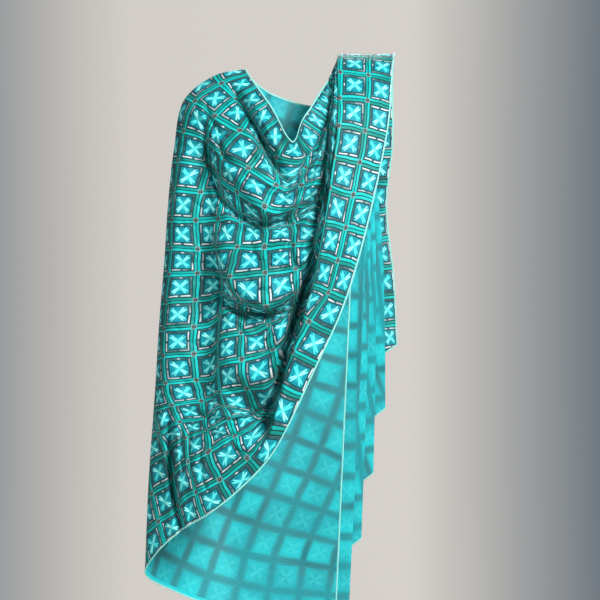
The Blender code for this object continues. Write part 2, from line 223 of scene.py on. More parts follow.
# How many rows of the solids' grid there are from each place to the next.
ROWS_AFTER = {
    "end_b": 2, "back_left": 3, "spine": 3, "back_right": 3, "back_arm": 3, "side": 2, "arm": 3, "dip": 3,
    "chest": 3, "cowl": 4, "turn": 4, "band": 5, "upper": 3, "top": 3, "shoulder": 3, "over": 3, "blade": 4,
    "fall_high": 5, "fall_low": 4,
}

# The tables by place from here on leave out the places at 0.
# How far the cloth is folded flat at each place: 0 is a smooth sheet, 1 a stack of flat layers.
FLATNESS = {
    "turn": 0.4, "band": 1.0, "upper": 1.0, "top": 1.0, "shoulder": 1.0, "over": 1.0, "blade": 1.0,
    "fall_high": 0.9, "fall_low": 0.8, "end_a": 0.85,
}

# The way in which the layers stand off the body.
LAYER_WAY = {place: (0.0, -1.0, 0.0) for place in PLACES}
LAYER_WAY.update({"top": (0.0, -0.75, 0.66), "shoulder": (0.0, 0.0, 1.0), "over": (0.0, 0.7, 0.7)})
LAYER_WAY.update({"blade": (0.0, 1.0, 0.1), "fall_high": (0.0, 1.0, 0.0), "fall_low": (0.0, 1.0, 0.0)})
LAYER_WAY["end_a"] = (0.0, 1.0, 0.0)

# Each stretch, from one place to another.
STRETCHES = (
    ("back_panel", "end_b", "back_arm"),
    ("arm_drape", "back_arm", "dip"),
    ("front_cowl", "dip", "turn"),
    ("front_band", "turn", "top"),
    ("shoulder_pleats", "top", "over"),
    ("shoulder_fall", "over", "end_a"),
)

# How the cloth that is left over lies, at each place: the share gathered into the valleys of a wave, and the
# share hidden between the layers of the stack. The rest is spread evenly.
GATHERED = {
    "arm": 0.3, "dip": 0.9, "chest": 1.0, "cowl": 1.0, "turn": 0.5, "fall_high": 0.4, "fall_low": 0.5,
    "end_a": 0.5,
}
STACKED = {"turn": 0.5, "band": 1.0, "upper": 1.0, "top": 1.0, "shoulder": 1.0, "over": 1.0, "blade": 0.9}
HIDDEN = 0.002
NECK_OPENNESS = 0.4
BAND_FIRMNESS = 5.0
VALLEY_CORE = 0.12
VALLEY_WIDTH = 0.4
PIN = 1e4
PLUMB = 10.0
PLUMB_FROM = 2
PLUMB_TO = 7
# The folded band over the shoulder is this many squares wide, from its fold to the hem.
BAND_SQUARES = 2.02
BAND_HOLD = 60.0
SOFT = 1e-7
FLAT_ROUNDS = 40
# How far the columns of squares lean to the left side as they go down, in degrees, on the lower front.
LEAN_FROM = 5
LEAN = {
    "side": {"second_valley": 0, "third_ridge": 2, "pocket": 5, "band_fold": 24, "hem": 27},
    "arm": {"second_valley": 0, "third_ridge": 1, "pocket": 3, "band_fold": 14, "hem": 18},
    "dip": {"second_valley": 0, "third_ridge": 0, "pocket": 0, "band_fold": 9, "hem": 16},
    "chest": {"second_valley": 0, "third_ridge": 0, "pocket": 2, "band_fold": 24, "hem": 30},
    "cowl": {"second_valley": 4, "third_ridge": 8, "pocket": 14, "band_fold": 38, "hem": 42},
}
LEAN_HOLD = 3.0
LEAN_FADE = (1.0, 1.0, 1.0, 0.8, 0.1)

# The motifs, in squares, measured from the middle of a square or from the line between two.
BAR = 0.104
BAR_LINE = 0.013
OUTLINE = 0.012
NODE = 0.080
NODE_CENTRE = 0.050
FRAME = 0.343
FRAME_HALF = 0.021
FRAME_GAP = 0.045
INNER_SQUARE = 0.308
SQUARE_SHADE = 0.03
# The strokes of a star and of the small ones under it, in one eighth of the square, by angle in degrees.
STAR = {"angle": 36.5, "start": 0.005, "end": 0.310, "half_width": 0.031}
SMALL_PETAL = {"angle": 9.0, "start": 0.03, "end": 0.170, "half_width": 0.020}
STROKE = 0.4
WOBBLE = 0.13
# How softly the motifs end.
BLUR = 0.012
FINE_BLUR = 0.01
OUTLINE_BLUR = 0.008
STROKE_BLUR = 0.014
GAP_BLUR = 0.02
DIAGONAL_BLUR = 0.002

# Thread sizes in metres.
THREAD = 0.0016
SLANT_THREAD = THREAD * 1.4
DARN = 0.0035
OVERLOCK = 0.0026
OVERLOCK_HEIGHT = 0.0005
STITCH_HEIGHT = 0.0009
# The wrong side's bright edge, and the strip of pattern along the hem, from this far along the cloth.
HEM_EDGE = 0.009
HEM_STRIP = 0.055
HEM_STRIP_FROM = 1.15
HEM_BLUR = 0.002
STRIP_BLUR = 0.05
# How high the motifs, the threads and the small wrinkles stand, in heights of a stitch.
RAISED = {"frame": 0.8, "bar": 0.75, "small_petal": 0.6, "inner_square": 0.4}
BAR_GROOVE = 0.5
THREAD_HEIGHT = 0.16
WRINKLE = 5.0

# Noises: how many spots there are to a metre and how many finer ones are laid over them.
NOISES = {
    "wobble_x": (22.0, 1.0), "wobble_y": (17.0, 1.0), "mottle": (90.0, 2.0), "shade": (5.0, 2.0),
    "shine": (7.0, 2.0), "glint": (9.0, 2.0), "wrinkle": (28.0, 3.0), "backing": (6.0, 1.0),
    "patch": (14.0, 1.0), "edging": (30.0, 2.0),
}
# Where the noises change from one colour to another, as the edges of a band and its blur.
# The sheen, glint and bar bands and BAR_SHADE place painted sheen, glint and shade on the threads.
SHEEN_BAND = (0.46, 0.9, 0.14)
GLINT_BAND = (0.54, 0.9, 0.12)
BAR_BAND = (0.43, 0.16)
BAR_SHADE = 0.16
BACKING_BAND = (0.48, 0.25)
DEEP_BAND = (0.42, 0.1)
PATCH_BAND = (0.5, 0.2)
BLOCK_BAND = (FRAME + 0.03, 0.14)

# Red, green and blue.
COLOURS = {
    "teal": (0.000, 0.170, 0.235),
    "teal_light": (0.001, 0.330, 0.390),
    "teal_dark": (0.001, 0.035, 0.045),
    "ground": (0.006, 0.055, 0.066),
    "ground_light": (0.040, 0.165, 0.190),
    # The bars' thread in painted shade and with painted light: one half of each bar is painted lighter.
    "bar_painted_shade": (0.000, 0.225, 0.195),
    "bar_painted_light": (0.002, 0.500, 0.480),
    "bar_dark": (0.000, 0.014, 0.013),
    "node": (0.200, 0.260, 0.260),
    "node_dark": (0.002, 0.030, 0.030),
    # The frame's silver thread with a painted glint, then the same thread in painted shade.
    "silver_painted_glint": (0.620, 0.680, 0.700),
    "silver_painted_shade": (0.030, 0.085, 0.095),
    # The star's thread with painted sheen, then the same thread in painted shade, which also shows faintly on
    # the wrong side.
    "star": (0.300, 1.000, 0.960),
    "star_thread_and_painted_shade": (0.070, 0.760, 0.760),
    "petal": (0.010, 0.430, 0.480),
    "wrong_deep": (0.000, 0.190, 0.215),
    "wrong_mid": (0.000, 0.275, 0.310),
    "wrong_bright": (0.000, 0.405, 0.460),
    "wrong_light": (0.001, 0.540, 0.590),
    "backing": (0.032, 0.180, 0.200),
    "edging": (0.220, 0.760, 0.690),
    "edging_light": (0.420, 0.900, 0.830),
    "edging_dark": (0.080, 0.420, 0.380),
    "floor": (0.720, 0.700, 0.670),
}

# Creases in front, beyond the folds of the solids: how deep and how wide each is, how much cloth it tucks
# away, and its path across the front as (x, z). A negative depth is a swell.
CREASES = {
    "neck_roll": (0.022, 0.008, 0.012, (
        (-0.135, -0.023), (-0.112, -0.060), (-0.092, -0.091), (-0.067, -0.139), (-0.046, -0.182),
        (-0.019, -0.234),
    )),
    "roll_swell": (-0.008, 0.011, 0, (
        (-0.104, -0.029), (-0.077, -0.079), (-0.052, -0.126), (-0.029, -0.166),
    )),
    "long_valley": (0.014, 0.006, 0.014, (
        (-0.185, -0.099), (-0.177, -0.141), (-0.170, -0.180), (-0.160, -0.220), (-0.143, -0.257),
        (-0.118, -0.282), (-0.077, -0.299), (-0.031, -0.298), (0.010, -0.276),
    )),
    "shoulder_dimple": (0.008, 0.005, 0.007, (
        (-0.181, -0.052), (-0.175, -0.083), (-0.162, -0.108), (-0.143, -0.133),
    )),
    "upper_tuck": (0.009, 0.005, 0.007, (
        (-0.166, -0.124), (-0.150, -0.153), (-0.131, -0.182), (-0.094, -0.205),
    )),
    "under_roll": (0.01, 0.005, 0.008, (
        (-0.118, -0.203), (-0.079, -0.224), (-0.048, -0.238), (-0.019, -0.242),
    )),
    "right_pleat_one": (0.011, 0.005, 0.006, (
        (-0.013, -0.238), (0.012, -0.205), (0.039, -0.160), (0.056, -0.110),
    )),
    "right_pleat_two": (0.011, 0.005, 0.006, (
        (-0.011, -0.263), (0.018, -0.232), (0.047, -0.193), (0.064, -0.141),
    )),
    "right_pleat_three": (0.01, 0.005, 0.006, (
        (-0.002, -0.299), (0.021, -0.267), (0.045, -0.234), (0.058, -0.191),
    )),
    "shoulder_pleat": (0.006, 0.004, 0, (
        (0.072, -0.006), (0.066, -0.074), (0.060, -0.141), (0.048, -0.203),
    )),
    "star_hollow": (0.01, 0.005, 0.008, (
        (-0.087, -0.330), (-0.083, -0.363), (-0.065, -0.379), (-0.033, -0.373), (-0.008, -0.355),
    )),
    "side_notch": (0.01, 0.0045, 0.005, (
        (-0.006, -0.311), (-0.011, -0.350), (-0.002, -0.381), (0.014, -0.396),
    )),
    "band_shadow": (0.026, 0.009, 0, (
        (0.048, -0.257), (0.033, -0.340), (0.014, -0.431), (-0.015, -0.523), (-0.042, -0.620),
        (-0.069, -0.705),
    )),
    "middle_valley": (0.019, 0.007, 0.014, (
        (-0.166, -0.363), (-0.148, -0.406), (-0.150, -0.438), (-0.133, -0.462), (-0.104, -0.475),
        (-0.067, -0.479), (-0.031, -0.467), (0.002, -0.438),
    )),
    "left_valley": (0.009, 0.006, 0, (
        (-0.154, -0.442), (-0.160, -0.508), (-0.162, -0.581), (-0.160, -0.658),
    )),
    "pocket_curl": (0.009, 0.005, 0.007, (
        (-0.116, -0.491), (-0.104, -0.518), (-0.069, -0.523), (-0.050, -0.504), (-0.056, -0.477),
    )),
    "pocket_tuck": (0.01, 0.005, 0.006, (
        (-0.073, -0.554), (-0.033, -0.541), (0.000, -0.506),
    )),
    "low_valley": (0.011, 0.0055, 0, (
        (-0.253, -0.674), (-0.206, -0.672), (-0.145, -0.684), (-0.098, -0.682), (-0.067, -0.662),
        (-0.040, -0.635),
    )),
    "lower_valley": (0.008, 0.005, 0, (
        (-0.197, -0.711), (-0.145, -0.714), (-0.090, -0.709), (-0.063, -0.693),
    )),
    "pocket_foot": (0.008, 0.0045, 0.006, (
        (-0.135, -0.714), (-0.114, -0.741), (-0.077, -0.743),
    )),
    "side_crease": (0.022, 0.007, 0, (
        (-0.256, -0.662), (-0.251, -0.703), (-0.247, -0.774), (-0.243, -0.817), (-0.231, -0.882),
        (-0.222, -0.915),
    )),
    "flute_one": (0.007, 0.0035, 0.014, (
        (-0.229, -0.689), (-0.226, -0.724), (-0.224, -0.770), (-0.220, -0.797),
    )),
    "flute_two": (0.007, 0.0035, 0.014, (
        (-0.210, -0.689), (-0.210, -0.724), (-0.206, -0.778), (-0.193, -0.836),
    )),
    "flute_three": (0.006, 0.0035, 0.008, (
        (-0.189, -0.740), (-0.185, -0.778), (-0.173, -0.828),
    )),
}
CREASE_STEPS = 8
SLACK_WIDTH = 0.020
TUCK_REACH = 0.045
# How bluntly a crease ends, and the low swells at its sides, in widths of the crease and shares of its depth.
CREASE_ENDS = 0.6
SWELL_PLACE = 2.2
SWELL_WIDTH = 1.1
SWELL_HEIGHT = 0.35
# Small wrinkles in front: valley lines that run down to the left chest, deeper where the cloth is slack.
CRUMPLE_SEED = 11
CRUMPLE_VALUES = 64
CRUMPLE_TURN = -35.0
CRUMPLE_CELLS = ((0.085, 0.034, 0.0090), (0.045, 0.020, 0.0050))
CRUMPLE_SHARP = 3.0
CRUMPLED = {"side": 0.15, "arm": 0.5, "dip": 1.0, "chest": 1.0, "cowl": 1.0, "turn": 0.8, "band": 0.3}
CREASED = {
    "side": 0.6, "arm": 1.0, "dip": 1.0, "chest": 1.0, "cowl": 1.0, "turn": 1.0, "band": 1.0,
    "upper": 1.0, "top": 0.3,
}

# The camera looks level along +Y from the figure's front.
CAMERA_PLACE = (0.006, -4.0, -0.45)
FIELD_WIDTH = 1.2
SENSOR_WIDTH = 36.0
LIT_POINT = (0.0, 0.0, -0.5)
LAMPS = {
    "key": {"place": (1.7, -3.0, 1.4), "size": 0.9, "power": 225.0},
    "fill": {"place": (-2.4, -2.6, 0.3), "size": 1.6, "power": 36.0},
    "back": {"place": (0.6, 2.6, 1.2), "size": 1.8, "power": 60.0},
}
ROOM_LIGHT = 0.2
# The backdrop's colour by its direction sideways: palest behind the cloth, darker and cooler to the sides.
BACKDROP_REACH = 0.25
BACKDROP = (
    (-0.250, (0.600, 0.580, 0.560)),
    (-0.150, (0.310, 0.325, 0.335)),
    (-0.109, (0.545, 0.520, 0.495)),
    (-0.083, (0.650, 0.615, 0.578)),
    (0.055, (0.670, 0.635, 0.600)),
    (0.084, (0.500, 0.490, 0.470)),
    (0.109, (0.350, 0.355, 0.360)),
    (0.148, (0.160, 0.190, 0.215)),
    (0.250, (0.600, 0.580, 0.560)),
)
FLOOR_LEVEL = -1.45
FLOOR_RADIUS = 2.5
FLOOR_SIDES = 96


def place_row(place):
    """The grid row at which a place lies."""
    return sum(ROWS_AFTER[earlier] for earlier in PLACES[: PLACES.index(place)])


def back_point(place, fold):
    """A point of the back panel: the fold's share of the way from the top edge to the hem."""
    row = BACK[place]
    share = fold / LAST_FOLD
    top = np.array(row["top"])
    hem = np.array(row["hem"])
    point = top + (hem - top) * share
    point[0] -= BACK_SIDEWAYS[place] * np.sin(np.pi * share) * (1 - SIDEWAYS_FADE * share)
    point[1] += row["blade"] * np.sin(np.pi * min(1.0, share * BLADES))
    point[1] += row["waist"] * np.sin(np.pi * share)
    return point


def stack_point(place, fold):
    """A point of the pleat stack: the inner or outer end of a layer, raised by its number."""
    name = FOLD_NAMES[fold]
    if (place, name) in LEAVING:
        return np.array(LEAVING[(place, name)])
    if name == "hem":
        return np.array(BAND_EDGE[place])
    row = STACK[place]
    across = row["outer"] if fold % 2 else row["inner"] + row["step"] * fold
    return np.array((across, row["y"] + row["off"][0] * fold, row["z"] + row["off"][1] * fold))


def layered(point, fold):
    """The point moved to its own layer of the stack in front, where its line has not yet left it, or sunk
    towards the body where its swag comes near the band."""
    keys = ("body", "band", "left", "edge")
    body, band, left, edge = [np.interp(point[2], LEVELS["z"], LEVELS[key]) for key in keys]
    order = fold if fold % 2 else fold + RIDGE_LEAD
    share = 1.0 if fold >= BAND_FOLD else min(1.0, max(0.0, (order - left) / (BAND_FOLD - left)))
    layer = body + (band - body) * share
    near = min(1.0, max(0.0, (point[0] - edge) / SINK_WIDTH + 1.0))
    swag = max(point[1], body - SWAG_DEPTH * (1 - near) - SUNK_DEPTH * near)
    inside = min(1.0, max(0.0, fold - left + 1.0))
    moved = point.copy()
    moved[1] = swag * (1 - inside) + layer * inside
    if fold % 2 == 0:
        moved[1] = min(swag, layer)
    return moved


def fall_point(place, fold):
    """A point of the loose pleats behind the left shoulder; the short end slants up to the hem."""
    row = FALL[place]
    across = row["inner"] + row["drift"] * fold + (row["depth"] if fold % 2 else 0.0)
    share = fold / LAST_FOLD
    end = FALL_END_NECK + (FALL_END_HEM - FALL_END_NECK) * share
    down = FALL_START + (end - FALL_START) * row["reach"]
    return np.array((across, row["y"] + row["off"] * fold, down))


def place_point(place, fold):
    if place in BACK:
        return back_point(place, fold)
    if place in FRONT_PLACES:
        point = np.array(FRONT[FOLD_NAMES[fold]][FRONT_PLACES.index(place)])
        return layered(point, fold) if place == "band" else point
    if place in STACK:
        point = stack_point(place, fold)
        return layered(point, fold) if place == "upper" else point
    return fall_point(place, fold)


def root_gaps(points):
    """The square roots of the distances between following points, which space a centripetal curve."""
    return np.maximum(1e-6, np.linalg.norm(np.diff(points, axis=0), axis=-1)) ** 0.5


def on_curve(stops, gaps, share):
    """The point at a share of the way between the middle two of four stops."""
    before, start, end, after = stops
    gap_before, gap, gap_after = gaps
    t = gap * share
    a1 = before + (start - before) * (t + gap_before) / gap_before
    a2 = start + (end - start) * t / gap
    a3 = end + (after - end) * (t - gap) / gap_after
    b1 = a1 + (a2 - a1) * (t + gap_before) / (gap_before + gap)
    b2 = a2 + (a3 - a2) * t / (gap + gap_after)
    return b1 + (b2 - b1) * t / gap


def refined(points, values, counts):
    """The values on centripetal curves along the first axis, spaced by the points, with a number of steps
    from each to the next."""
    gaps = root_gaps(points)
    gaps = np.concatenate([gaps[:1], gaps, gaps[-1:]])[..., None]
    padded = np.concatenate([values[:1] * 2 - values[1:2], values, values[-1:] * 2 - values[-2:-1]])
    finer = []
    for index, count in enumerate(counts):
        for step in range(count):
            finer.append(on_curve(padded[index : index + 4], gaps[index : index + 3], step / count))
    finer.append(values[-1])
    return np.array(finer)


def row_values(table, steps=1):
    """What the table says at each row of the grid, blended evenly from place to place, or with steps at
    each row of the finer grid."""
    stops = [place_row(place) * steps for place in PLACES]
    columns = np.array([table.get(place, 0.0) for place in PLACES]).reshape(len(PLACES), -1).T
    return np.stack([np.interp(np.arange(stops[-1] + 1), stops, column) for column in columns], 1)


def column_folds(columns):
    """Where each column of the grid lies among the folds, counted from the neck edge."""
    return np.arange(columns) * LAST_FOLD / (columns - 1)


def cross_section(folds, flat, way):
    """The cloth from the neck edge to the hem in one row: a smooth wave where flat is 0 and level layers
    with rounded folds where it is 1."""
    last = len(folds) - 1
    padded = [folds[0] * 2 - folds[1], *folds, folds[-1] * 2 - folds[-2]]
    points = []
    for strip in range(last):
        around = padded[strip : strip + 4]
        gaps = root_gaps(around)
        start = folds[strip]
        end = folds[strip + 1]
        length = np.linalg.norm(end - start)
        cut = FOLD_CUT * (1 - flat) + STACK_CUT / length * flat
        first = max(cut, EDGE_CUT / length) if strip == 0 else cut
        final = 1 - (max(cut, EDGE_CUT / length) if strip == last - 1 else cut)
        stops = (0.0, first, first + (final - first) / 3, final - (final - first) / 3, final)
        for index, share in enumerate(stops):
            smooth = on_curve(around, gaps, share)
            sharp = start + (end - start) * share
            if index > 0:
                sharp = sharp + way * LAYER_RISE * (0.5 - share)
            elif strip > 0:
                back = folds[strip - 1] - start
                back /= np.linalg.norm(back)
                sharp = start + (back * STACK_CUT + (end - start) / length * STACK_CUT) / 4
            points.append(smooth * (1 - flat) + sharp * flat)
    points.append(folds[-1])
    return np.array(points)


def cloth_grid():
    """All rows of the cloth's middle surface, from one short end to the other."""
    counts = [ROWS_AFTER[place] for place in PLACES[:-1]]
    lines = []
    for fold in range(len(FOLD_NAMES)):
        stops = np.array([place_point(place, fold) for place in PLACES])
        line = refined(stops, stops, counts)
        rows = range(place_row("cowl"), place_row("upper") + 1)
        for row in rows:
            weight = min(1.0, (row - rows[0]) / (place_row("turn") - rows[0]))
            line[row] += (layered(line[row], fold) - line[row]) * weight
        lines.append(line)
    ways = row_values(LAYER_WAY)
    ways /= np.linalg.norm(ways, axis=1, keepdims=True)
    rows = zip(np.array(lines).transpose(1, 0, 2), row_values(FLATNESS)[:, 0], ways)
    grid = np.array([cross_section(list(folds), flat, way) for folds, flat, way in rows])
    # The chest falls back towards the arm, and everything on it with it.
    turning_rows = [place_row(place) for place in CHEST_TURN]
    turned = np.interp(np.arange(len(grid)), turning_rows, list(CHEST_TURN.values()))
    beside = np.maximum(0.0, grid[:, :, 0] - CHEST_SIDE)
    grid[:, :, 1] += CHEST_SIDE_FALL * beside**2 * turned[:, None]
    return grid


def moved_towards(edge, inner, distance):
    """The edge points moved a distance towards the next points inside."""
    way = inner - edge
    return edge + way / np.linalg.norm(way, axis=-1, keepdims=True) * distance


def lean_values(rows, columns):
    """The lean of the threads in radians at each point of the solids' grid, and how firmly it is held."""
    folds = FOLD_NAMES[LEAN_FROM:]
    fold = column_folds(columns)
    stops = [place_row(place) for place in LEAN]
    lines = np.arange(LEAN_FROM, LAST_FOLD + 1)
    leans = [np.interp(fold, lines, [by_fold[name] for name in folds]) for by_fold in LEAN.values()]
    lean = np.array([np.interp(np.arange(rows), stops, column) for column in np.array(leans).T]).T
    hold = np.zeros((rows, columns))
    firm = np.clip(fold - LEAN_FROM + 1, 0, 1) * np.clip(LAST_FOLD - fold, 0, 1)
    hold[stops[0] : stops[-1] + 1] = LEAN_HOLD * firm
    hold *= np.interp(np.arange(rows), stops, LEAN_FADE)[:, None]
    return np.radians(lean), hold


def openness(grid):
    """How freely each cell shows: 1 on the ridges, little in the valleys and inside the stack, where the
    cloth that is left over lies gathered."""
    fold = column_folds(grid.shape[1])
    from_valley = np.abs((fold % 2) - 1)
    ridge = np.clip((from_valley - VALLEY_CORE) / (VALLEY_WIDTH - VALLEY_CORE), 0, 1) ** 2
    waves = HIDDEN + (1 - HIDDEN) * ridge
    waves[fold < 0.5] = 1.0
    stack = np.where(fold >= BAND_FOLD, 1.0, HIDDEN)
    stack[fold < 1] = NECK_OPENNESS
    share = row_values(GATHERED)
    folded = row_values(STACKED)
    free = (1 - share - folded) + share * waves[None, :] + folded * stack[None, :]
    free[:, fold >= BAND_FOLD] *= BAND_FIRMNESS
    # A crease that tucks no cloth away is a line along which it hangs slack.
    reach = row_values(CREASED)
    for depth, width, tuck, path in CREASES.values():
        if tuck == 0 and depth > 0:
            distance = off_path(grid[:, :, [0, 2]], crease_path(path))[0]
            free = free * (1 - (1 - HIDDEN) * reach * np.exp(-((distance / SLACK_WIDTH) ** 2)))
    return free


def row_solver(matrix, rows, columns):
    """A function that solves for the grid's points, where the matrix joins only neighbouring rows."""
    def block(first, second):
        across = slice(first * columns, (first + 1) * columns)
        down = slice(second * columns, (second + 1) * columns)
        return matrix[across, down]

    inverses = [np.linalg.inv(block(0, 0))]
    for row in range(1, rows):
        carried = block(row, row - 1) @ inverses[-1] @ block(row - 1, row)
        inverses.append(np.linalg.inv(block(row, row) - carried))

    def solve(values):
        lines = values.reshape(rows, columns).copy()
        for row in range(1, rows):
            lines[row] -= block(row, row - 1) @ (inverses[row - 1] @ lines[row - 1])
        lines[-1] = inverses[-1] @ lines[-1]
        for row in reversed(range(rows - 1)):
            lines[row] = inverses[row] @ (lines[row] - block(row, row + 1) @ lines[row + 1])
        return lines.ravel()

    return solve


def laid_flat(grid):
    """Where each point of the drape lies on the flat cloth: x along its length and y across its width.
    Each triangle keeps its shape as nearly as it can, the neck edge and the hem stay straight, and the
    cloth that is left over goes where it doesn't show."""
    rows, columns = grid.shape[:2]
    number = np.arange(rows * columns).reshape(rows, columns)
    corners = number[:-1, :-1], number[1:, :-1], number[1:, 1:], number[:-1, 1:]
    corners = [corner.ravel() for corner in corners]
    triangles = np.concatenate([np.stack(corners[:3], 1), np.stack([corners[0], corners[2], corners[3]], 1)])
    points = grid.reshape(-1, 3)
    first, second, third = (points[triangles[:, i]] for i in range(3))
    base = second - first
    length = np.maximum(1e-9, np.linalg.norm(base, axis=1))
    side = third - first
    ahead = (side * base).sum(1) / length
    aside = np.linalg.norm(np.cross(base, side), axis=1) / length
    local = np.stack([np.zeros(len(length)), length, ahead + 1j * np.maximum(1e-7, aside)], 1)
    weight = openness(grid).ravel()[triangles].mean(1)
    # Each triangle's sides as the differences of its corners, with the cotangent of the corner opposite.
    total = rows * columns
    matrix = np.zeros((total, total))
    sides = []
    for here, there, apex in ((0, 1, 2), (1, 2, 0), (2, 0, 1)):
        one = local[:, here] - local[:, apex]
        two = local[:, there] - local[:, apex]
        product = np.conj(one) * two
        cotangent = weight * product.real / np.maximum(1e-9, np.abs(product.imag))
        start = triangles[:, here]
        end = triangles[:, there]
        np.add.at(matrix, (start, start), cotangent)
        np.add.at(matrix, (end, end), cotangent)
        np.add.at(matrix, (start, end), -cotangent)
        np.add.at(matrix, (end, start), -cotangent)
        sides.append((start, end, local[:, there] - local[:, here], cotangent))
    # Where straight down lies on each triangle, and the turn that gives the threads their lean.
    ahead_way = base / length[:, None]
    aside_way = side - ahead[:, None] * ahead_way
    aside_way /= np.maximum(1e-9, np.linalg.norm(aside_way, axis=1))[:, None]
    down = -ahead_way[:, 2] - 1j * aside_way[:, 2]
    lean, hold = (values.ravel()[triangles].mean(1) for values in lean_values(rows, columns))
    held_turn = hold * 1j * np.exp(1j * lean) * np.conj(down)
    along_steps = np.linalg.norm(np.diff(grid, axis=0), axis=2)
    along = np.concatenate([np.zeros((1, columns)), np.cumsum(along_steps, axis=0)])
    along -= along[place_row("side")]
    across_steps = np.linalg.norm(np.diff(grid, axis=1), axis=2)
    across = np.concatenate([np.zeros((rows, 1)), np.cumsum(across_steps, axis=1)], axis=1)
    across *= CLOTH_WIDTH / across[:, -1:]
    flat = (along.mean(1)[:, None] + 1j * across).ravel()
    pinned = np.zeros(total)
    pinned[number[:, 0]] = PIN
    pinned[number[:, -1]] = PIN
    cells = (columns - 1) // LAST_FOLD
    band = number[place_row("band") : place_row("blade"), columns - 1 - cells]
    pinned[band] = BAND_HOLD
    anchored = np.zeros(total)
    # On the right side the threads run straight down.
    plumb = number[place_row("side"), cells * PLUMB_FROM : cells * PLUMB_TO]
    anchored[plumb] = PLUMB
    across_solver = row_solver(matrix + np.diag(pinned) + np.eye(total) * SOFT, rows, columns)
    along_solver = row_solver(matrix + np.diag(anchored) + np.eye(total) * SOFT, rows, columns)
    target = flat.imag.copy()
    target[band] = CLOTH_WIDTH - BAND_SQUARES * SQUARE
    for _ in range(FLAT_ROUNDS):
        turn = np.zeros(len(triangles), complex)
        for start, end, edge, cotangent in sides:
            turn += cotangent * (flat[end] - flat[start]) * np.conj(edge)
        turn /= np.maximum(1e-12, np.abs(turn))
        turn += held_turn
        turn /= np.maximum(1e-12, np.abs(turn))
        wanted = np.zeros(total, complex)
        for start, end, edge, cotangent in sides:
            pull = cotangent * turn * edge
            np.add.at(wanted, end, pull)
            np.add.at(wanted, start, -pull)
        new_along = along_solver(wanted.real + SOFT * flat.real)
        new_across = across_solver(wanted.imag + pinned * target + SOFT * flat.imag)
        flat = new_along + 1j * new_across
    return np.stack([flat.real, flat.imag], 1).reshape(rows, columns, 2)


def crease_path(stops):
    """Closely spaced points along the curve through a crease's stops."""
    stops = np.array(stops)
    return refined(stops, stops, [CREASE_STEPS] * (len(stops) - 1))


def off_path(points, path):
    """For each point its distance from the path, with the side as its sign, and its share of the way."""
    best = np.full(points.shape[:-1], np.inf)
    side = np.zeros_like(best)
    share = np.zeros_like(best)
    count = len(path) - 1
    for index in range(count):
        way = path[index + 1] - path[index]
        offset = points - path[index]
        along = np.clip((offset @ way) / (way @ way), 0, 1)
        away = offset - along[..., None] * way
        distance = np.linalg.norm(away, axis=-1)
        nearer = distance < best
        best = np.where(nearer, distance, best)
        turned = way[0] * offset[..., 1] - way[1] * offset[..., 0]
        side = np.where(nearer, np.sign(turned), side)
        share = np.where(nearer, (index + along) / count, share)
    return best * side, share


def smooth_noise(points, values):
    """Random values at whole numbers, smoothly blended between them."""
    whole = np.floor(points).astype(int)
    share = points - whole
    share = share * share * (3 - 2 * share)
    right_share, high_share = share[..., 0], share[..., 1]
    size = len(values)
    left = whole[..., 0] % size
    low = whole[..., 1] % size
    right = (left + 1) % size
    high = (low + 1) % size
    under = values[left, low] * (1 - right_share) + values[right, low] * right_share
    over = values[left, high] * (1 - right_share) + values[right, high] * right_share
    return under * (1 - high_share) + over * high_share


def crumples(front):
    """How deep the small wrinkles are at each point of the front: narrow valleys between soft bulges."""
    draws = np.random.RandomState(CRUMPLE_SEED)
    angle = math.radians(CRUMPLE_TURN)
    along = front[..., 0] * math.cos(angle) + front[..., 1] * math.sin(angle)
    across = -front[..., 0] * math.sin(angle) + front[..., 1] * math.cos(angle)
    depth = np.zeros(front.shape[:2])
    for length, width, deep in CRUMPLE_CELLS:
        values = draws.rand(CRUMPLE_VALUES, CRUMPLE_VALUES)
        noise = smooth_noise(np.stack([along / length, across / width], 2), values)
        depth += deep * np.exp(-np.abs(2 * noise - 1) * CRUMPLE_SHARP)
    return depth


def creased(grid, flat):
    """The grid with its creases pressed in, and the flat coordinates with the tucked cloth left out."""
    reach = row_values(CREASED, ROW_STEPS)
    front = grid[:, :, [0, 2]]
    push = np.zeros(grid.shape[:2])
    flat = flat.copy()
    down_along, across_along = np.gradient(flat[:, :, 0])
    down_across, across_across = np.gradient(flat[:, :, 1])
    area = down_along * across_across - down_across * across_along
    area = np.where(np.abs(area) < 1e-9, 1e-9, area)
    for depth, width, tuck, path in CREASES.values():
        distance, share = off_path(front, crease_path(path))
        ends = np.sin(np.pi * np.clip(share, 0, 1)) ** CREASE_ENDS
        size = np.abs(distance) / width
        valley = np.exp(-(size**2))
        swell = np.exp(-(((size - SWELL_PLACE) / SWELL_WIDTH) ** 2))
        push += depth * ends * (valley - SWELL_HEIGHT * swell) * reach
        # The way across the crease, on the flat cloth.
        down_side, across_side = np.gradient(distance)
        way_along = (across_across * down_side - down_across * across_side) / area
        way_across = (down_along * across_side - across_along * down_side) / area
        length = np.maximum(1e-6, np.hypot(way_along, way_across))
        shift = np.tanh(distance / width) * np.exp(-((distance / TUCK_REACH) ** 2))
        shift *= tuck / 2 * ends * reach
        flat[:, :, 0] += shift * way_along / length
        flat[:, :, 1] += shift * way_across / length
    # The roll at the neck and the folded band lie smooth.
    fold = column_folds(grid.shape[1])
    slack = np.clip(fold, 0, 1) * np.clip(BAND_FOLD - fold, 0, 1)
    push += crumples(front) * row_values(CRUMPLED, ROW_STEPS) * slack[None, :]
    grid = grid.copy()
    grid[:, :, 1] += push
    return grid, flat


def grid_normals(grid):
    """Unit normals that point to the wrong side of the cloth, towards the body."""
    normals = np.cross(np.gradient(grid, axis=0), np.gradient(grid, axis=1))
    return normals / np.maximum(np.linalg.norm(normals, axis=2, keepdims=True), 1e-12)


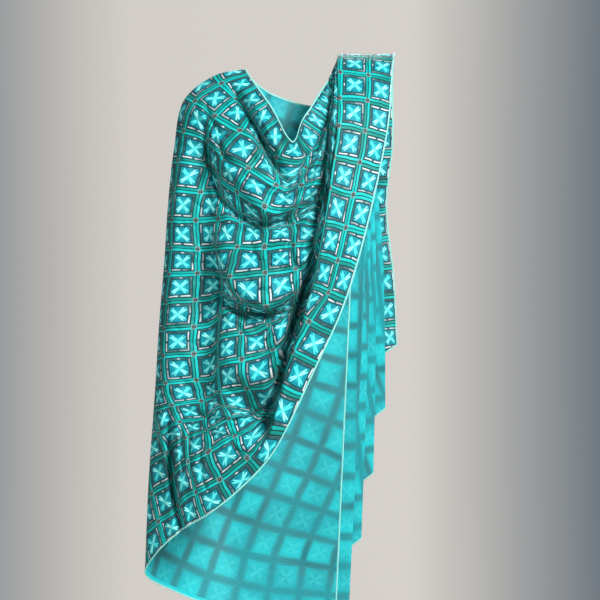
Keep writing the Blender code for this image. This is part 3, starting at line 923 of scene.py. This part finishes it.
class Nodes:
    """Short names for building the look of a material or of the room out of nodes."""

    def __init__(self, owner):
        self.owner = owner
        owner.use_nodes = True
        self.tree = owner.node_tree

    def add(self, kind, **settings):
        node = self.tree.nodes.new(kind)
        for key, value in settings.items():
            setattr(node, key, value)
        return node

    def put(self, socket, value):
        """Links another socket to this one, or sets its number or colour."""
        if isinstance(value, bpy.types.NodeSocket):
            self.tree.links.new(value, socket)
        else:
            socket.default_value = (*COLOURS[value], 1.0) if value in COLOURS else value

    def math(self, operation, first, second=0.0, third=0.0, clamp=False):
        node = self.add("ShaderNodeMath", operation=operation, use_clamp=clamp)
        for socket, value in zip(node.inputs, (first, second, third)):
            self.put(socket, value)
        return node.outputs[0]

    def times(self, first, second):
        return self.math("MULTIPLY", first, second)

    def less(self, first, second, clamp=False):
        return self.math("SUBTRACT", first, second, clamp=clamp)

    def scaled(self, value, factor, offset, clamp=False):
        return self.math("MULTIPLY_ADD", value, factor, offset, clamp)

    def size(self, value):
        return self.math("ABSOLUTE", value)

    def below(self, value, edge, blur=BLUR):
        """1 where the value is under the edge and 0 over it, with a soft step."""
        return self.scaled(value, -1 / blur, edge / blur + 0.5, clamp=True)

    def between(self, value, low, high, blur=BLUR):
        return self.less(self.below(value, high, blur), self.below(value, low, blur), clamp=True)

    def wave(self, value, pitch):
        """0 to 1 and back over each pitch."""
        return self.scaled(self.math("SINE", self.times(value, 2 * math.pi / pitch)), 0.5, 0.5)

    def mix(self, share, under, over, blend="MIX"):
        node = self.add("ShaderNodeMix", data_type="RGBA", blend_type=blend)
        self.put(node.inputs["Factor"], share)
        self.put(node.inputs[6], under)
        self.put(node.inputs[7], over)
        return node.outputs[2]

    def laid_over(self, colour, layers):
        """The colour with others over it, each where its mask says."""
        for mask, over in layers:
            colour = self.mix(mask, colour, over)
        return colour

    def noise(self, name, vector):
        node = self.add("ShaderNodeTexNoise")
        scale, detail = NOISES[name]
        for key, value in (("Vector", vector), ("Scale", scale), ("Detail", detail)):
            self.put(node.inputs[key], value)
        return node.outputs["Fac"]

    def split(self, vector):
        node = self.add("ShaderNodeSeparateXYZ")
        self.put(node.inputs[0], vector)
        return node.outputs

    def flat_cloth(self):
        return self.add("ShaderNodeUVMap", uv_map="flat_cloth").outputs[0]

    def finish(self, looks, height=None, distance=STITCH_HEIGHT, strength=1.0):
        """The material, with its shader's sockets filled and a bump of this height."""
        looks = dict(looks)
        if height is not None:
            bump = self.add("ShaderNodeBump")
            for key, value in (("Height", height), ("Distance", distance), ("Strength", strength)):
                self.put(bump.inputs[key], value)
            looks["Normal"] = bump.outputs[0]
        for key, value in looks.items():
            self.put(self.tree.nodes["Principled BSDF"].inputs[key], value)
        return self.owner


def square_coordinates(nodes):
    """Flat-cloth coordinates in metres, and folded ones inside a square: x and y from -0.5 to 0.5 with 0 in
    the middle, their distances from it, and the larger and the smaller of those."""
    uv = nodes.flat_cloth()
    along, across = nodes.split(uv)[:2]
    place = {"uv": uv, "along": along, "across": across}
    # The rows of stitches aren't quite straight.
    for key, value, start in (("x", along, PHASE_ALONG), ("y", across, -MARGIN / SQUARE)):
        shift = nodes.scaled(nodes.noise("wobble_" + key, uv), WOBBLE, start - WOBBLE / 2)
        square = nodes.scaled(value, 1 / SQUARE, shift)
        place[key] = nodes.less(nodes.math("FRACT", square), 0.5)
    place["wide"] = nodes.size(place["x"])
    place["high"] = nodes.size(place["y"])
    place["larger"] = nodes.math("MAXIMUM", place["wide"], place["high"])
    place["smaller"] = nodes.math("MINIMUM", place["wide"], place["high"])
    return place


def petal(nodes, place, angle, start, end, half_width):
    """A stroke of thread along an angle inside the eighth of the square, from one radius to another."""
    cosine = math.cos(math.radians(angle))
    sine = math.sin(math.radians(angle))
    larger, smaller = place["larger"], place["smaller"]
    out = nodes.scaled(larger, cosine, nodes.times(smaller, sine))
    off = nodes.scaled(larger, -sine, nodes.times(smaller, cosine))
    share = nodes.scaled(out, 1 / (end - start), -start / (end - start), clamp=True)
    swell = nodes.times(nodes.times(share, nodes.less(1.0, share)), 4.0)
    bulge = nodes.times(nodes.math("POWER", swell, STROKE), half_width)
    over = nodes.less(nodes.size(off), bulge)
    return nodes.times(nodes.below(over, 0.0, STROKE_BLUR), nodes.between(out, start, end, FINE_BLUR))


def pattern_masks(nodes, place):
    """The share of each stitched motif at a point."""
    from_line = nodes.less(0.5, place["larger"])
    from_crossing = nodes.less(0.5, place["smaller"])
    level = nodes.below(nodes.less(place["wide"], place["high"]), 0.0, FINE_BLUR)
    above = nodes.times(level, nodes.below(place["y"], 0.0, FINE_BLUR))
    right = nodes.times(nodes.less(1.0, level), nodes.below(place["x"], 0.0, FINE_BLUR))
    # The frame is two dashes a side, but a single short one at the top.
    line = nodes.between(place["larger"], FRAME - FRAME_HALF, FRAME + FRAME_HALF)
    sides = nodes.less(1.0, nodes.below(place["smaller"], FRAME_GAP, GAP_BLUR))
    return {
        "bar": nodes.below(from_line, BAR),
        "bar_outline": nodes.between(from_line, BAR - OUTLINE, BAR + OUTLINE, OUTLINE_BLUR),
        "bar_line": nodes.below(from_line, BAR_LINE, FINE_BLUR),
        # The half of a bar that lies above its middle line, or to the right of it, which is painted lighter.
        "bar_painted_lit_half": nodes.math("ADD", above, right, clamp=True),
        "node": nodes.below(from_crossing, NODE),
        "node_centre": nodes.below(from_crossing, NODE_CENTRE),
        "node_dot": nodes.below(from_crossing, NODE_CENTRE / 3),
        "inner_square": nodes.below(place["larger"], INNER_SQUARE),
        "square_shade": nodes.between(place["larger"], INNER_SQUARE - SQUARE_SHADE, INNER_SQUARE),
        "star": petal(nodes, place, **STAR),
        "small_petal": petal(nodes, place, **SMALL_PETAL),
        "frame": nodes.times(line, nodes.size(nodes.less(sides, above))),
        "level": level,
    }


def stitched_colour(nodes, place, masks):
    """The colour of the right side, with painted sheen, glint and shade on its threads."""
    uv = place["uv"]
    mottle = nodes.noise("mottle", uv)
    # Painted light on the bars: the half above or right of each bar's middle line is painted lighter, and
    # broad noise makes patches lighter or darker.
    lit = nodes.scaled(masks["bar_painted_lit_half"], -BAR_SHADE, nodes.noise("shade", uv))
    # Painted sheen: the threads' shine by the way they lie is painted into the colour, so the two diagonals
    # of a star and the sides of a frame differ in brightness.
    diagonal = nodes.below(nodes.times(place["x"], place["y"]), 0.0, DIAGONAL_BLUR)
    sheen = nodes.size(nodes.less(nodes.between(nodes.noise("shine", uv), *SHEEN_BAND), diagonal))
    glint = nodes.size(nodes.less(nodes.between(nodes.noise("glint", uv), *GLINT_BAND), masks["level"]))
    looks = {
        "bar": nodes.mix(nodes.below(lit, *BAR_BAND), "bar_painted_shade", "bar_painted_light"),
        "bar_outline": "bar_dark",
        "bar_line": "bar_dark",
        "node": "node",
        "node_centre": "node_dark",
        "node_dot": "node",
        "inner_square": nodes.mix(mottle, "teal", "teal_light"),
        "square_shade": "teal_dark",
        "frame": nodes.mix(glint, "silver_painted_shade", "silver_painted_glint"),
        "small_petal": "petal",
        "star": nodes.mix(sheen, "star_thread_and_painted_shade", "star"),
    }
    ground = nodes.mix(mottle, "ground", "ground_light")
    return nodes.laid_over(ground, [(masks[name], look) for name, look in looks.items()])


def thread_lines(nodes, place, masks):
    """Fine ridges of thread: straight outside the inner squares and slanting in them."""
    straight = nodes.wave(place["across"], THREAD)
    slanting = nodes.wave(nodes.math("ADD", place["along"], place["across"]), SLANT_THREAD)
    lines = nodes.times(straight, nodes.less(1.0, masks["inner_square"]))
    return nodes.scaled(slanting, masks["inner_square"], lines)


def right_side():
    """Embroidered side: squares with stars in a lattice of doubled bars."""
    nodes = Nodes(bpy.data.materials.new("embroidery"))
    place = square_coordinates(nodes)
    masks = pattern_masks(nodes, place)
    colour = stitched_colour(nodes, place, masks)
    threads = thread_lines(nodes, place, masks)
    raised = masks["star"]
    for name, height in RAISED.items():
        raised = nodes.math("MAXIMUM", raised, nodes.times(masks[name], height))
    raised = nodes.less(raised, nodes.times(masks["bar_line"], BAR_GROOVE))
    height = nodes.scaled(threads, THREAD_HEIGHT, raised)
    height = nodes.scaled(nodes.noise("wrinkle", place["uv"]), WRINKLE, height)
    looks = {
        "Base Color": nodes.mix(1.0, colour, nodes.scaled(threads, 0.22, 0.86), "MULTIPLY"),
        "Roughness": nodes.scaled(raised, -0.14, 0.60),
        "Sheen Weight": 0.06,
        "Sheen Roughness": 0.4,
        "Specular IOR Level": 0.2,
    }
    return nodes.finish(looks, height, strength=0.8)


def wrong_side():
    """Plain side: blocks of darned turquoise thread, with a bright edge along the hem, and behind the left
    shoulder a strip of the pattern there."""
    nodes = Nodes(bpy.data.materials.new("wrong_side"))
    place = square_coordinates(nodes)
    masks = pattern_masks(nodes, place)
    uv = place["uv"]
    backing = nodes.noise("backing", uv)
    patchy = nodes.below(nodes.noise("patch", uv), *PATCH_BAND)
    darn = nodes.wave(place["across"], DARN)
    to_hem = nodes.less(CLOTH_WIDTH, place["across"])
    before_strip = nodes.below(place["along"], HEM_STRIP_FROM, STRIP_BLUR)
    layers = (
        (nodes.below(backing, *DEEP_BAND), "wrong_deep"),
        (nodes.below(place["larger"], *BLOCK_BAND), nodes.mix(patchy, "wrong_bright", "wrong_light")),
        (nodes.times(nodes.times(masks["bar_outline"], patchy), 0.5), "backing"),
        (nodes.times(masks["star"], 0.25), "star_thread_and_painted_shade"),
        (nodes.times(darn, 0.15), "wrong_deep"),
        (nodes.below(to_hem, HEM_EDGE, HEM_BLUR), "wrong_light"),
        (nodes.less(nodes.below(to_hem, HEM_STRIP, HEM_BLUR), before_strip, clamp=True),
         stitched_colour(nodes, place, masks)),
    )
    ground = nodes.mix(nodes.below(backing, *BACKING_BAND), "wrong_mid", "backing")
    looks = {
        "Base Color": nodes.laid_over(ground, layers),
        "Roughness": nodes.scaled(darn, -0.1, 0.58),
        "Sheen Weight": 0.05,
    }
    return nodes.finish(looks, nodes.scaled(nodes.noise("wrinkle", uv), WRINKLE / 2, darn), strength=0.5)


def edging_material():
    """Overlocked edge: close slanting stitches of light aqua thread."""
    nodes = Nodes(bpy.data.materials.new("overlock"))
    uv = nodes.flat_cloth()
    along, around = nodes.split(uv)[:2]
    stitch = nodes.wave(nodes.scaled(around, 0.5, along), OVERLOCK)
    colour = nodes.mix(nodes.noise("edging", uv), "edging", "edging_light")
    colour = nodes.mix(nodes.times(nodes.less(1.0, stitch), 0.45), colour, "edging_dark")
    looks = {"Base Color": colour, "Roughness": nodes.scaled(stitch, -0.15, 0.6), "Sheen Weight": 0.05}
    return nodes.finish(looks, stitch, OVERLOCK_HEIGHT)


def placed(name, data):
    """A new object in the scene."""
    made = bpy.data.objects.new(name, data)
    bpy.context.scene.collection.objects.link(made)
    return made


def mesh_object(name, points, faces, uvs, materials, slots=None, normals=None):
    mesh = bpy.data.meshes.new(name)
    mesh.from_pydata(points.tolist(), [], faces.tolist())
    layer = mesh.uv_layers.new(name="flat_cloth")
    layer.data.foreach_set("uv", uvs[faces.ravel()].astype(np.float32).ravel())
    for material in materials:
        mesh.materials.append(material)
    if slots is not None:
        mesh.polygons.foreach_set("material_index", slots.astype(np.int32))
    mesh.update()
    mesh.shade_smooth()
    if normals is not None:
        mesh.normals_split_custom_set_from_vertices(normals.tolist())
    return placed(name, mesh)


def grid_faces(rows, columns, offset, turned):
    number = offset + np.arange(rows * columns).reshape(rows, columns)
    corners = [number[:-1, :-1], number[1:, :-1], number[1:, 1:], number[:-1, 1:]]
    if turned:
        corners.reverse()
    return np.stack([corner.ravel() for corner in corners], 1)


def cloth_piece(name, grid, normals, flat, materials):
    """Both sides of one stretch of the cloth, a cloth's thickness apart."""
    rows, columns = grid.shape[:2]
    wrong = (grid + normals * THICKNESS / 2).reshape(-1, 3)
    right = (grid - normals * THICKNESS / 2).reshape(-1, 3)
    right_faces = grid_faces(rows, columns, 0, True)
    wrong_faces = grid_faces(rows, columns, rows * columns, False)
    faces = np.concatenate([right_faces, wrong_faces])
    slots = np.concatenate([np.zeros(len(right_faces)), np.ones(len(wrong_faces))])
    uvs = np.concatenate([flat.reshape(-1, 2)] * 2)
    turned = normals.reshape(-1, 3)
    points = np.concatenate([right, wrong])
    return mesh_object(name, points, faces, uvs, materials, slots, np.concatenate([-turned, turned]))


def edging_piece(name, edge, inner, normals, material):
    """A slim rounded roll of stitches along an edge of the cloth."""
    inward = inner - edge
    inward /= np.maximum(1e-9, np.linalg.norm(inward, axis=1, keepdims=True))
    middle = edge + inward * EDGING_WIDTH / 2
    turns = np.arange(EDGING_SIDES) * 2 * np.pi / EDGING_SIDES
    rings = []
    for turn in turns:
        aside = inward * np.cos(turn) * EDGING_WIDTH / 2
        rings.append(middle + aside + normals * np.sin(turn) * EDGING_HEIGHT / 2)
    rings.append(rings[0])
    points = np.stack(rings, 1)
    length = np.concatenate([[0], np.cumsum(np.linalg.norm(np.diff(edge, axis=0), axis=1))])
    around = np.arange(EDGING_SIDES + 1) / EDGING_SIDES * EDGING_ROUND
    uvs = np.stack(np.meshgrid(length, around, indexing="ij"), 2).reshape(-1, 2)
    faces = grid_faces(len(edge), EDGING_SIDES + 1, 0, False)
    return mesh_object(name, points.reshape(-1, 3), faces, uvs, [material])


def pale_floor():
    """A pale round floor below the shawl."""
    turns = np.arange(FLOOR_SIDES) * 2 * np.pi / FLOOR_SIDES
    points = [(math.cos(turn) * FLOOR_RADIUS, math.sin(turn) * FLOOR_RADIUS, FLOOR_LEVEL) for turn in turns]
    mesh = bpy.data.meshes.new("floor")
    mesh.from_pydata(points, [], [list(range(FLOOR_SIDES))])
    look = Nodes(bpy.data.materials.new("floor"))
    mesh.materials.append(look.finish({"Base Color": "floor", "Roughness": 0.8}))
    floor = placed("floor", mesh)


def room():
    """A pale grey all round, which darkens to the sides of the front view."""
    world = bpy.data.worlds.new("studio")
    bpy.context.scene.world = world
    nodes = Nodes(world)
    background = nodes.tree.nodes["Background"]
    sideways = nodes.split(nodes.add("ShaderNodeTexCoord").outputs["Generated"])[0]
    ramp = nodes.add("ShaderNodeValToRGB")
    nodes.put(ramp.inputs["Fac"], nodes.scaled(sideways, 1 / (2 * BACKDROP_REACH), 0.5, clamp=True))
    stops = ramp.color_ramp.elements
    while len(stops) < len(BACKDROP):
        stops.new(0.5)
    for stop, (place, colour) in zip(stops, BACKDROP):
        stop.position = 0.5 + place / (2 * BACKDROP_REACH)
        stop.color = (*colour, 1.0)
    nodes.put(background.inputs["Color"], ramp.outputs["Color"])
    # The room lights the cloth less than it shows, so that the folds keep their shade.
    seen = nodes.add("ShaderNodeLightPath").outputs["Is Camera Ray"]
    nodes.put(background.inputs["Strength"], nodes.scaled(seen, 1 - ROOM_LIGHT, ROOM_LIGHT))


def lamp(name, place, size, power):
    """A square soft light that faces the middle of the shawl."""
    light = bpy.data.lights.new(name, "AREA")
    light.shape = "SQUARE"
    light.size = size
    light.energy = power
    made = placed(name, light)
    made.location = place
    made.rotation_euler = (Vector(LIT_POINT) - Vector(place)).to_track_quat("-Z", "Y").to_euler()


def studio():
    data = bpy.data.cameras.new("camera")
    data.sensor_width = SENSOR_WIDTH
    data.lens = SENSOR_WIDTH * -CAMERA_PLACE[1] / FIELD_WIDTH
    camera = placed("camera", data)
    camera.location = CAMERA_PLACE
    camera.rotation_euler = (math.pi / 2, 0.0, 0.0)
    bpy.context.scene.camera = camera
    pale_floor()
    room()
    for name, settings in LAMPS.items():
        lamp(name, **settings)
    bpy.context.scene.view_settings.view_transform = "Standard"


def main():
    studio()
    coarse = cloth_grid()
    both = np.concatenate([coarse, laid_flat(coarse)], axis=2)
    for steps in (ROW_STEPS, COLUMN_STEPS):
        counts = [steps] * (len(both) - 1)
        both = refined(both[:, :, :3], both, counts).transpose(1, 0, 2)
    grid, flat = creased(both[:, :, :3], both[:, :, 3:])
    normals = grid_normals(grid)
    materials = [right_side(), wrong_side()]
    edging = edging_material()
    # The cloth runs under the edging to its middle.
    cloth = grid.copy()
    cloth[:, 0] = moved_towards(grid[:, 0], grid[:, 1], EDGING_WIDTH / 2)
    cloth[:, -1] = moved_towards(grid[:, -1], grid[:, -2], EDGING_WIDTH / 2)
    cloth[0] = moved_towards(cloth[0], cloth[1], EDGING_WIDTH / 2)
    cloth[-1] = moved_towards(cloth[-1], cloth[-2], EDGING_WIDTH / 2)
    edges = {
        "neck_edging": (grid[:, 0], grid[:, 1], normals[:, 0]),
        "hem_edging": (grid[:, -1], grid[:, -2], normals[:, -1]),
        "back_end_edging": (grid[0], grid[1], normals[0]),
        "front_end_edging": (grid[-1], grid[-2], normals[-1]),
    }
    for node, lines in edges.items():
        roll = edging_piece(node + "_roll", *lines, edging)
        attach(roll, "root")
        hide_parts(node)
    for node, start, end in STRETCHES:
        part = slice(place_row(start) * ROW_STEPS, place_row(end) * ROW_STEPS + 1)
        piece = cloth_piece(node + "_cloth", cloth[part], normals[part], flat[part], materials)
        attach(piece, "root")
        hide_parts(node)


main()
